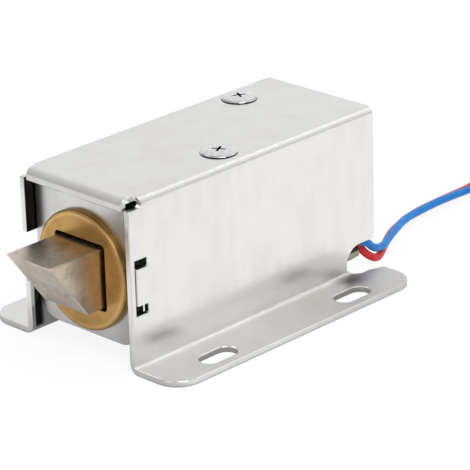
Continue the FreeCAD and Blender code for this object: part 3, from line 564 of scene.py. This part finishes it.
def smooth(piece, angle):
    """Smooth shading, except over edges sharper than this many degrees."""
    alone(piece)
    bpy.ops.object.shade_smooth_by_angle(angle=math.radians(angle))


def ease_edges(piece, angle, width):
    """A small round on every edge sharper than this many degrees."""
    ease = piece.modifiers.new("ease", "BEVEL")
    ease.limit_method = "ANGLE"
    ease.angle_limit = math.radians(angle)
    ease.width = width
    ease.segments = 2
    ease.use_clamp_overlap = False
    apply_all(piece)


def join_to(piece, parts):
    """The parts become part of the piece."""
    alone(piece)
    for part in parts:
        part.select_set(True)
    bpy.ops.object.join()


def rounded_block(middle, spans, round_off, segments):
    """A block with its edges rounded."""
    bpy.ops.mesh.primitive_cube_add(size=1, location=middle)
    block = bpy.context.object
    block.scale = spans
    settle(block)
    with editing(block):
        bpy.ops.mesh.bevel(offset=round_off, segments=segments)
    return block


def finished(piece, slot, body, node):
    """Gives the piece its finish, hides the node that it stands for, and attaches it to the body that it moves
    with.
    """
    piece.data.materials.clear()
    piece.data.materials.append(finishes[slot])
    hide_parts(node)
    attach(piece, body)


def eased_copy(node, name, width, rim=0.0):
    """A copy of a solid with every sharp edge eased, as punching or turning leaves it. A turned
    flange's front edge is rolled over by the width of the rim."""
    piece = linked(name, frame["nodes"][node].data.copy())
    with editing(piece):
        bpy.ops.mesh.customdata_custom_splitnormals_clear()
        bpy.ops.mesh.remove_doubles(threshold=0.002 * MM)
        bpy.ops.mesh.dissolve_limited(angle_limit=math.radians(0.5))
    smooth(piece, 35)
    ease_edges(piece, 35, width)
    if rim:
        low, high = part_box(node)
        roll_rim(piece, low.x, (high.z - low.z) / 2 - width, rim)
    smooth(piece, 50)
    flatten = piece.modifiers.new("flatten", "WEIGHTED_NORMAL")
    flatten.weight = 100
    flatten.keep_sharp = True
    apply_all(piece)
    return piece


def roll_rim(piece, face, radius, width):
    """Rolls the outer edge of a turned flange's front face over."""

    def on_rim(point):
        out = math.hypot(point.y, point.z - AXIS_HEIGHT)
        return abs(point.x - face) < 0.01 * MM and out > radius - 0.05 * MM

    mesh = bmesh.new()
    mesh.from_mesh(piece.data)
    rim = [e for e in mesh.edges if all(on_rim(v.co) for v in e.verts)]
    bmesh.ops.bevel(mesh, geom=rim, offset=width, segments=5, profile=0.5, affect="EDGES")
    mesh.to_mesh(piece.data)
    mesh.free()


def dress_cad_nodes():
    """The solids whose shape is right keep it, and get their finish."""
    slots = {row["node"]: row["material_slot"] for row in frame["record"]["subparts"]}
    for name, node in frame["nodes"].items():
        node.data.materials.clear()
        node.data.materials.append(finishes[slots[name]])


def dress_sheet_and_turned_parts():
    """Bracket, yoke, bush, bolt and plug, with eased edges that catch the light."""
    for node, name, slot, body, width, rim in (
        ("mounting_bracket", "folded_bracket", "nickel_sheet", "lock_body", 0.13 * MM, 0),
        ("yoke_frame", "folded_yoke", "zinc_iron", "lock_body", 0.12 * MM, 0),
        ("guide_bush", "turned_bush", "brass", "lock_body", 0.08 * MM, 0.85 * MM),
        ("latch_bolt", "slanted_bolt", "nickel_bolt", "bolt_body", 0.15 * MM, 0),
        ("plug_housing", "moulded_plug", "white_plug", "lock_body", 0.12 * MM, 0),
    ):
        finished(eased_copy(node, name, width, rim), slot, body, node)


# The cover screws: a 3 mm thread with a low head, which has a shallow cross recess
SCREW_HEAD_RADIUS = 2.95 * MM
SCREW_RISE = 0.55 * MM
SCREW_THREAD_RADIUS = 1.5 * MM
SCREW_SHANK = 3.8 * MM
THREAD_PITCH = 0.5 * MM
THREAD_DEPTH = 0.28 * MM
RECESS_HALF = 1.3 * MM
RECESS_BLADE = 0.7 * MM
RECESS_DEPTH = 0.14 * MM


def lathe(name, profile, steps):
    """A turned piece from radii and heights about its own upright axis, closed only where its profile meets the
    axis.
    """
    points = [(radius, 0, height) for radius, height in profile]
    edges = [(i, i + 1) for i in range(len(profile) - 1)]
    piece = from_points(name, points, edges, [])
    with editing(piece):
        bpy.ops.mesh.spin(steps=steps, angle=math.tau, center=(0, 0, 0), axis=(0, 0, 1))
        bpy.ops.mesh.select_all(action="SELECT")
        bpy.ops.mesh.remove_doubles(threshold=0.001 * MM)
        bpy.ops.mesh.normals_make_consistent(inside=False)
    return piece


def screw_recess():
    """The punch that leaves a cross recess: two crossed blades that narrow downwards."""
    foot_length = 0.7
    foot_width = 0.2
    blades = []
    for turn in (0, 90):
        bpy.ops.mesh.primitive_cube_add(size=1, location=(0, 0, SCREW_RISE))
        blade = bpy.context.object
        blade.scale = (RECESS_HALF * 2, RECESS_BLADE, RECESS_DEPTH * 2)
        settle(blade)
        for v in blade.data.vertices:
            if v.co.z < SCREW_RISE:
                v.co.x *= foot_length
                v.co.y *= foot_width
        blade.rotation_euler.z = math.radians(turn)
        settle(blade)
        blades.append(blade)
    return blades


def make_screw_head(name):
    """A low pan head with a domed top, a rounded rim and a cross recess punched into it."""
    dome = 0.13 * MM
    dome_radius = 2.5 * MM
    rim = 0.30 * MM
    chamfer = 0.08 * MM
    corner = []
    for degrees in range(0, 76, 15):
        angle = math.radians(degrees)
        radius = SCREW_HEAD_RADIUS - rim + rim * math.cos(angle)
        corner.append((radius, SCREW_RISE - dome * 2 - rim + rim * math.sin(angle)))
    top = [(r * MM, SCREW_RISE - dome * (r * MM / dome_radius) ** 2) for r in (2.2, 1.7, 1.1, 0.5, 0)]
    profile = [(SCREW_THREAD_RADIUS * 0.9, 0), (SCREW_HEAD_RADIUS - chamfer, 0)]
    profile += [(SCREW_HEAD_RADIUS, chamfer), *corner, *top]
    head = lathe(name, profile, 72)
    for blade in screw_recess():
        punch = head.modifiers.new("recess", "BOOLEAN")
        punch.operation = "DIFFERENCE"
        punch.object = blade
        punch.solver = "EXACT"
        apply_all(head)
        bpy.data.objects.remove(blade)
    ease_edges(head, 40, 0.05 * MM)
    return head


def make_screw_shank(name):
    """The threaded shank: a helical ridge wound round a plain core."""
    steps = 40
    turns = int(SCREW_SHANK / THREAD_PITCH) - 1
    section = [(0, -0.5), (0, -0.1), (1, 0.0), (0, 0.1)]
    points = []
    for i in range(turns * steps + 1):
        angle = math.tau * i / steps
        ease = min(1.0, i / steps, (turns * steps - i) / steps)
        for out, up in section:
            radius = SCREW_THREAD_RADIUS - THREAD_DEPTH * (1 - out * ease)
            height = -SCREW_SHANK + 0.35 * MM + THREAD_PITCH * (i / steps + up + 0.5)
            points.append((radius * math.cos(angle), radius * math.sin(angle), height))
    width = len(section)
    faces = [
        (row * width + k, (row + 1) * width + k, (row + 1) * width + k + 1, row * width + k + 1)
        for row in range(turns * steps)
        for k in range(width - 1)
    ]
    ridge = from_points(name, points, [], faces)
    inner = SCREW_THREAD_RADIUS - THREAD_DEPTH - 0.01 * MM
    chamfer = 0.2 * MM
    tip = [(0, -SCREW_SHANK), (inner - chamfer, -SCREW_SHANK), (inner, -SCREW_SHANK + chamfer)]
    return [ridge, lathe(f"{name}_core", [*tip, (inner, 0)], steps)]


def dress_cover_screws():
    """Two identical cross-recessed screws, each turned to where it was left."""
    pattern = make_screw_head("screw_pattern")
    join_to(pattern, make_screw_shank("screw_thread"))
    for node, name, turn in (
        ("cover_screw_front", "front_cover_screw", 28),
        ("cover_screw_rear", "rear_cover_screw", 61),
    ):
        screw = linked(name, pattern.data.copy())
        middle = sum(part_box(node), Vector()) / 2
        screw.location = (middle.x, middle.y, TOP_FACE)
        screw.rotation_euler.z = math.radians(turn)
        settle(screw)
        smooth(screw, 32)
        finished(screw, "bright_screw", "lock_body", node)
    bpy.data.objects.remove(pattern)


def round_curve(name, radius, fineness):
    """A curve with no line yet, as thick as a wire or a lead of that radius, with closed ends."""
    curve = bpy.data.curves.new(name, "CURVE")
    curve.dimensions = "3D"
    curve.bevel_depth = radius
    curve.bevel_resolution = fineness
    curve.use_fill_caps = True
    return curve


def draw_line(curve, kind, places):
    """A line of that kind through or near the places."""
    spline = curve.splines.new(kind)
    spline.points.add(len(places) - 1)
    for point, place in zip(spline.points, places):
        point.co = (*place, 1)
    return spline


def closed_end_helix(start, end, radius, wire_radius):
    """The spring's line along X, with one turn at each end lying almost on the next."""
    turns = 8.5
    closed = 1.0
    closed_pitch = wire_radius * 2.05
    free_length = end - start - 2 * closed_pitch * closed
    steps = 48
    line = []
    for i in range(int(turns * steps) + 1):
        turn = i / steps
        if turn < closed:
            x = start + closed_pitch * turn
        elif turn > turns - closed:
            x = end - closed_pitch * (turns - turn)
        else:
            share = (turn - closed) / (turns - 2 * closed)
            x = start + closed_pitch * closed + free_length * share
        angle = math.tau * turn
        line.append((x, radius * math.cos(angle), AXIS_HEIGHT + radius * math.sin(angle)))
    return line


def dress_return_spring():
    """The return spring with closed end turns."""
    low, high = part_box("return_spring")
    wire_radius = 0.25 * MM
    coil_radius = (high.z - low.z) / 2 - wire_radius
    line = closed_end_helix(low.x + wire_radius, high.x - wire_radius, coil_radius, wire_radius)
    curve = round_curve("spring_line", wire_radius, 3)
    draw_line(curve, "POLY", line)
    spring = linked("closed_end_spring", curve)
    alone(spring)
    bpy.ops.object.convert(target="MESH")
    spring = bpy.context.object
    smooth(spring, 60)
    finished(spring, "spring_steel", "lock_body", "return_spring")
    travel = next(j for j in frame["joints"] if j["name"] == "bolt_slide")["range_m"][1]
    keep = (POLE_FACE - low.x - travel) / (POLE_FACE - low.x)
    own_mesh(spring)


def crumple(point, size, seed):
    """How deep the tape is creased there, from 0 to 1: sharp folds between flat facets."""
    place = Vector(point) / size + Vector((seed, seed * 0.7, 0))
    fold = abs(noise.noise(place)) * 1.6
    small = abs(noise.noise(place * 2.7)) * 0.9
    return min(1.0, fold * 0.65 + small * 0.35)


def dress_joint_wrap():
    """Paper tape pressed by hand round the lead joints, creased and uneven."""
    crease_span = 1.5 * MM
    crease_depth = 0.42 * MM
    low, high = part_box("lead_joint_wrap")
    wrap = rounded_block((low + high) / 2, high - low, 0.7 * MM, 3)
    wrap.name = "crinkled_joint_wrap"
    with editing(wrap):
        bpy.ops.mesh.subdivide(number_cuts=14)
    normals = [v.normal.copy() for v in wrap.data.vertices]
    for vertex, normal in zip(wrap.data.vertices, normals):
        vertex.co -= normal * crumple(vertex.co, crease_span, 4.3) * crease_depth
    smooth(wrap, 30)
    finished(wrap, "pale_tape", "lock_body", "lead_joint_wrap")


def tape_surface(low, high, outer, around, rows):
    """Points of the wound tape from end to end, in rings: each lap steps down to the one under it."""
    laps = 3.2
    step_down = 0.12 * MM
    pucker_depth = 0.07 * MM
    end_round = 0.03 * MM
    lap = (high - low) / laps
    points = []
    for row in range(rows + 1):
        x = low + (high - low) * row / rows
        for k in range(around):
            angle = math.tau * k / around
            sink = step_down * (((x - low) / lap + k / around) % 1.0)
            pucker = pucker_depth * crumple((x, angle * 6 * MM, 0), 2.2 * MM, 9.1)
            edge = end_round if row in (0, rows) else 0
            radius = outer - sink - pucker - edge
            points.append((x, radius * math.cos(angle), AXIS_HEIGHT + radius * math.sin(angle)))
    return points


def dress_coil_tape():
    """Tape wound over the coil in overlapping laps, with a plain bore that lies on the wire."""
    low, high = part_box("coil_tape")
    wire_low, wire_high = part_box("coil_winding")
    bore = (wire_high.z - wire_low.z) / 2
    around = 120
    rows = 64
    points = tape_surface(low.x, high.x, (high.z - low.z) / 2, around, rows)
    for x in (high.x, low.x):
        for k in range(around):
            angle = math.tau * k / around
            points.append((x, bore * math.cos(angle), AXIS_HEIGHT + bore * math.sin(angle)))
    rings = rows + 3
    faces = []
    for ring in range(rings):
        here = ring * around
        after = (ring + 1) % rings * around
        for k in range(around):
            beside = (k + 1) % around
            faces.append((here + k, here + beside, after + beside, after + k))
    tape = from_points("wound_tape", points, [], faces)
    with editing(tape):
        bpy.ops.mesh.normals_make_consistent(inside=False)
    smooth(tape, 40)
    finished(tape, "pale_tape", "lock_body", "coil_tape")


# The leads' routes in millimetres, from the lock to the stored coil and from there to the plug
RED_OUT = [
    (19.6, -7.45, 6.0),
    (21.5, -8.2, 5.7),
    (25.8, -8.5, 4.5),
    (26.5, -9.2, 2.7),
    (27.4, -10.3, 1.5),
    (28.9, -10.4, 0.8),
    (30.7, -9.6, 0.7),
    (37.0, -5.7, 0.7),
    (40.4, -4.1, 0.7),
    (46.4, -2.3, 0.7),
    (50.5, -1.8, 0.7),
    (58.8, -1.6, 0.7),
    (61.9, -2.0, 0.9),
    (65.4, -1.7, 1.2),
]
BLUE_OUT = [
    (20.4, -8.55, 7.3),
    (21.9, -9.3, 6.6),
    (23.5, -9.95, 5.6),
    (25.2, -10.0, 4.8),
    (26.9, -10.2, 4.1),
    (27.6, -10.3, 3.3),
    (28.7, -10.3, 2.6),
    (29.9, -9.9, 2.2),
    (31.5, -9.7, 2.0),
    (34.9, -7.8, 1.9),
    (41.3, -5.0, 1.9),
    (44.2, -4.3, 1.9),
    (52.6, -3.5, 1.8),
    (60.4, -3.5, 1.5),
    (64.3, -3.1, 1.2),
]
RED_TAIL = [(77.0, -1.7, 3.8), (80.2, -1.5, 3.6), (82.7, -1.0, 3.1), (84.95, -0.45, 2.85)]
BLUE_TAIL = [(76.6, -3.1, 3.8), (80.2, -3.1, 3.6), (83.1, -3.1, 3.1), (84.95, -2.95, 2.85)]

# The stored coil: the radius of each column of turns, and the heights of the layers in which they lie
COLUMNS = [9.4 * MM, 8.0 * MM, 6.6 * MM]
LAYERS = [COIL_FLOOR + 0.67 * MM, COIL_FLOOR + 2.0 * MM, COIL_FLOOR + 3.33 * MM]
TURN_POINTS = 16


def eased_share(value, low, high):
    """0 below low, 1 above high, and smooth between them."""
    share = min(1.0, max(0.0, (value - low) / (high - low)))
    return share * share * (3 - 2 * share)


def coil_turns(layer, last_column, last_rise):
    """Control points of clockwise turns, each further in. The last climbs to the top layer, over the
    share of its turn that last_rise gives, and goes to the last column."""
    last = len(COLUMNS) - 1
    points = []
    for step in range(len(COLUMNS) * TURN_POINTS + 1):
        turn = step / TURN_POINTS
        whole = min(last, int(turn))
        share = turn - whole
        radius = COLUMNS[whole]
        height = LAYERS[layer]
        if whole < last:
            radius += (COLUMNS[whole + 1] - radius) * eased_share(share, 0.80, 1.0)
        else:
            move = eased_share(share, *last_rise)
            radius += (last_column - radius) * move
            height += (LAYERS[-1] - height) * move
        angle = math.pi / 2 - math.tau * turn
        out = radius / math.cos(math.pi / TURN_POINTS)
        along = COIL_CENTRE.x + out * math.cos(angle)
        across = COIL_CENTRE.y + out * math.sin(angle)
        points.append((along, across, height))
    return points


def lead(name, slot, out, turns, tail):
    """One insulated lead on one smooth line, from the coil through the notch to the plug."""
    curve = round_curve(name, LEAD_THICKNESS / 2, 5)
    curve.resolution_u = 6
    route = [Vector(p) * MM for p in out] + turns + [Vector(p) * MM for p in tail]
    spline = draw_line(curve, "NURBS", route)
    spline.order_u = 3
    spline.use_endpoint_u = True
    piece = linked(name, curve)
    curve.materials.append(finishes[slot])
    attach(piece, "lock_body")
    return piece


def dress_leads():
    """The red lead lies over the blue one in the stored coil, and both leave it on its top layer."""
    red_turns = coil_turns(1, COLUMNS[1], (0.05, 0.50))
    blue_turns = coil_turns(0, COLUMNS[2], (0.30, 0.85))
    red = lead("red_insulated_lead", "red_insulation", RED_OUT, red_turns, RED_TAIL)
    blue = lead("blue_insulated_lead", "blue_insulation", BLUE_OUT, blue_turns, BLUE_TAIL)
    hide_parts("red_lead", "red_lead_tail", "lead_coil")
    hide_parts("blue_lead", "blue_lead_tail", "lead_coil")


def dress_lead_tie():
    """A strap round the bundle with ribs on its outer side and its cut end through the lock block."""
    low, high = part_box("lead_tie")
    tie = eased_copy("lead_tie", "ribbed_tie", 0.06 * MM)
    middle = (low + high) / 2
    rib_spans = Vector((1.5, 0.12, 0.18)) * MM
    first_rib = low.z + 0.8 * MM
    ribbed_height = 3.6 * MM
    ribs = 9
    parts = []
    for i in range(ribs):
        height = first_rib + ribbed_height * i / (ribs - 1)
        parts.append(rounded_block((middle.x, low.y, height), rib_spans, 0.03 * MM, 2))
    cut_end = (middle.x, middle.y + 1.9 * MM, high.z - 0.75 * MM)
    parts.append(rounded_block(cut_end, Vector((1.9, 1.6, 0.4)) * MM, 0.08 * MM, 2))
    join_to(tie, parts)
    smooth(tie, 35)
    finished(tie, "black_tie", "lock_body", "lead_tie")


# Level directions in the studio: to the camera's right, and away from the camera
RIGHTWARD = Vector((0.70, -0.71, 0))
FORWARD = Vector((0.71, 0.70, 0))

# The floor's glow, so far over white that it still clips where it keeps its share of the shadows
WHITE = 1.08
SHADOWS_KEPT = 0.18


def floor_in_metal(finish):
    """How bright the floor shows in metal: less towards the camera, ahead of the lock and under it."""
    x, y = finish.along("X"), finish.along("Y")
    rightward = x * RIGHTWARD.x + y * RIGHTWARD.y
    forward = x * FORWARD.x + y * FORWARD.y
    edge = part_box("mounting_bracket")[1]
    # Painted shadow of the lock on the floor as metal mirrors it: under the lock and ahead of it
    painted_shadow_under = abs(x).falling(edge.x - 2 * MM, edge.x + 2 * MM)
    painted_shadow_under = painted_shadow_under * abs(y).falling(edge.y - 2 * MM, edge.y + 2 * MM)
    painted_shadow_ahead = x.rising(-46 * MM, -28 * MM) * x.falling(20 * MM, 27 * MM) * abs(y).falling(17 * MM, 24 * MM)
    lit = 0.86 + 0.07 * rightward.rising(-45 * MM, 0)
    lit = lit * (0.75 + 0.25 * forward.rising(-48 * MM, -30 * MM))
    return lit * (1 - 0.45 * painted_shadow_ahead) * (1 - 0.6 * painted_shadow_under)


def white_floor():
    """White to the camera, with a share of the shadows on it, and less bright in metal."""
    finish = Finish("pale_floor")
    rays = finish.tree.nodes.new("ShaderNodeLightPath")
    names = ("Is Camera Ray", "Is Glossy Ray", "Is Transmission Ray")
    camera, glossy, clear = [Reading(finish, rays.outputs[name]) for name in names]
    seen = camera.or_higher(glossy).or_higher(clear)
    level = camera.or_higher(floor_in_metal(finish))
    finish.set(Base_Color=(0.86, 0.86, 0.86), Roughness=0.9, Specular_IOR_Level=0.1)
    colour = finish.blend(level, (0, 0, 0), (WHITE, WHITE, WHITE))
    glow = finish.node("ShaderNodeEmission", None, {"Color": colour, "Strength": 1.0})
    plain = Reading(finish, finish.shader.outputs[0])
    sides = {0: seen * (1 - SHADOWS_KEPT), 1: plain, 2: glow}
    finish.end("Material Output", finish.node("ShaderNodeMixShader", None, sides))
    return finish.material


def lay_floor():
    """The white ground, a hair below the feet."""
    bpy.ops.mesh.primitive_plane_add(size=6, location=(0, 0, -0.02 * MM))
    floor = bpy.context.object
    floor.name = "pale_floor"
    floor.data.materials.append(white_floor())


# The tent's mean brightness, how much it grows towards each axis, and the gap low on its right
SKY_LEVEL = 0.65
SKY_GROWTH = Vector((0.245, 0.025, 0.0))
GAP_HALF = 0.16
GAP_DEPTH = 0.6

# The dark opening that the camera looks in through
OPENING = Vector((-0.69, -0.68, 0.25))
OPENING_DEPTH = 0.4


def light_room():
    """A white tent, dimmer on the left, with a gap low on the right, and plain white to the camera."""
    world = bpy.data.worlds.new("white_tent")
    bpy.context.scene.world = world
    world.use_nodes = True
    tent = Nodes(world.node_tree)
    way = tent.node("ShaderNodeTexCoord", output="Generated")

    def towards(direction):
        ways = {0: way, 1: direction}
        return tent.node("ShaderNodeVectorMath", {"operation": "DOT_PRODUCT"}, ways, "Value")

    gap = towards((0, 0, 1)).near(0, GAP_HALF) * towards(RIGHTWARD).rising(0.5, 0.7)
    opening = towards(OPENING).rising(0.80, 0.95)
    level = towards(SKY_GROWTH) + SKY_LEVEL
    level = level * (1 - gap * GAP_DEPTH) * (1 - opening * OPENING_DEPTH)
    sky = tent.node("ShaderNodeBackground", None, {"Color": (1, 1, 1, 1), "Strength": level})
    white = tent.node("ShaderNodeBackground", None, {"Color": (1, 1, 1, 1)})
    camera = tent.node("ShaderNodeLightPath", output="Is Camera Ray")
    tent.end("World Output", tent.node("ShaderNodeMixShader", None, {0: camera, 1: sky, 2: white}))


# Where the lamps look: low in the middle of the lock
LAMP_AIM = Vector((0, 0, 10)) * MM


def soft_lamp(name, place, size, watts):
    """A square lamp that looks at the lock."""
    lamp = bpy.data.lights.new(name, "AREA")
    lamp.shape = "SQUARE"
    lamp.size = size
    lamp.energy = watts
    made = linked(name, lamp)
    made.location = place
    made.rotation_euler = (LAMP_AIM - Vector(place)).to_track_quat("-Z", "Y").to_euler()


def set_camera():
    """The photograph's camera, from its fitted angles, distance and lens."""
    around, above, roll = [math.radians(a) for a in (CAMERA_AROUND, CAMERA_ABOVE, CAMERA_ROLL)]
    flat = math.cos(above)
    back = Vector((-math.cos(around) * flat, -math.sin(around) * flat, math.sin(above)))
    right = Vector((math.sin(around), -math.cos(around), 0))
    up = back.cross(right)
    place = CAMERA_AIM + back * CAMERA_DISTANCE + right * CAMERA_RIGHT + up * CAMERA_UP
    level = math.cos(roll) * right + math.sin(roll) * up
    upright = math.cos(roll) * up - math.sin(roll) * right
    camera = bpy.data.cameras.new("camera")
    camera.lens = CAMERA_LENS
    camera.sensor_width = SENSOR_WIDTH
    camera.clip_start = 0.01
    camera.clip_end = 50
    made = linked("camera", camera)
    turn = Matrix((level, upright, back)).transposed().to_4x4()
    made.matrix_world = Matrix.Translation(place) @ turn
    bpy.context.scene.camera = made


dress_cad_nodes()
dress_sheet_and_turned_parts()
dress_cover_screws()
dress_return_spring()
dress_joint_wrap()
dress_coil_tape()
dress_lead_tie()
dress_leads()
lay_floor()
light_room()
soft_lamp("key", (-0.25, -0.55, 0.75), 0.5, 2.5)
soft_lamp("softbox", (0.60, -0.21, 0.65), 0.40, 0.26)
soft_lamp("side", (-0.77, -0.08, 0.25), 0.45, 0.75)
set_camera()
bpy.context.scene.view_settings.view_transform = "Standard"
